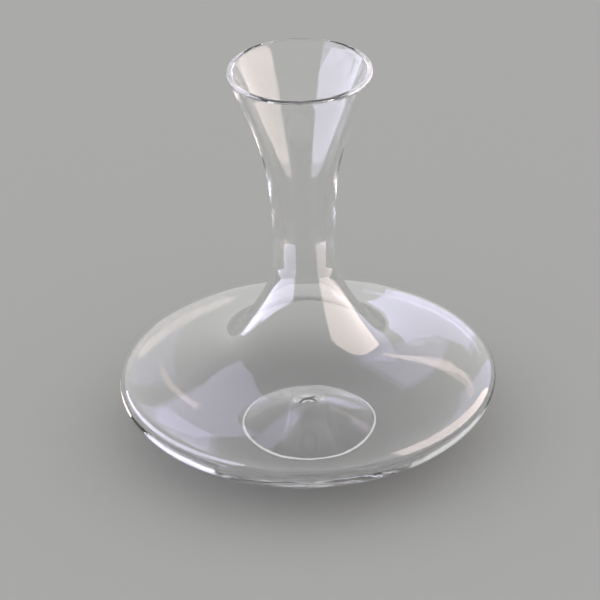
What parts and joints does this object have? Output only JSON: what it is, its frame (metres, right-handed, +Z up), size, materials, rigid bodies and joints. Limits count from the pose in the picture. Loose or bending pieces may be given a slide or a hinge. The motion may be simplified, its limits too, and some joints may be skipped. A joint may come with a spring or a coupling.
{
  "type": "wine decanter",
  "caption": "Clear glass wine decanter: a wide, low bowl with a pushed-up base, a slender neck and a flared mouth.",
  "frame": {"origin": "middle of the foot ring, on the plane that the decanter stands on", "axes": "+Z up along the axis that the whole vessel is round about; +X and +Y are any two directions square to it"},
  "size_m": [0.215, 0.215, 0.229],
  "materials": {
    "clear_glass": "blown and fire-polished, clear and colourless"
  },
  "bodies": {
    "root": {"glass_vessel": "clear_glass"}
  },
  "joints": []
}
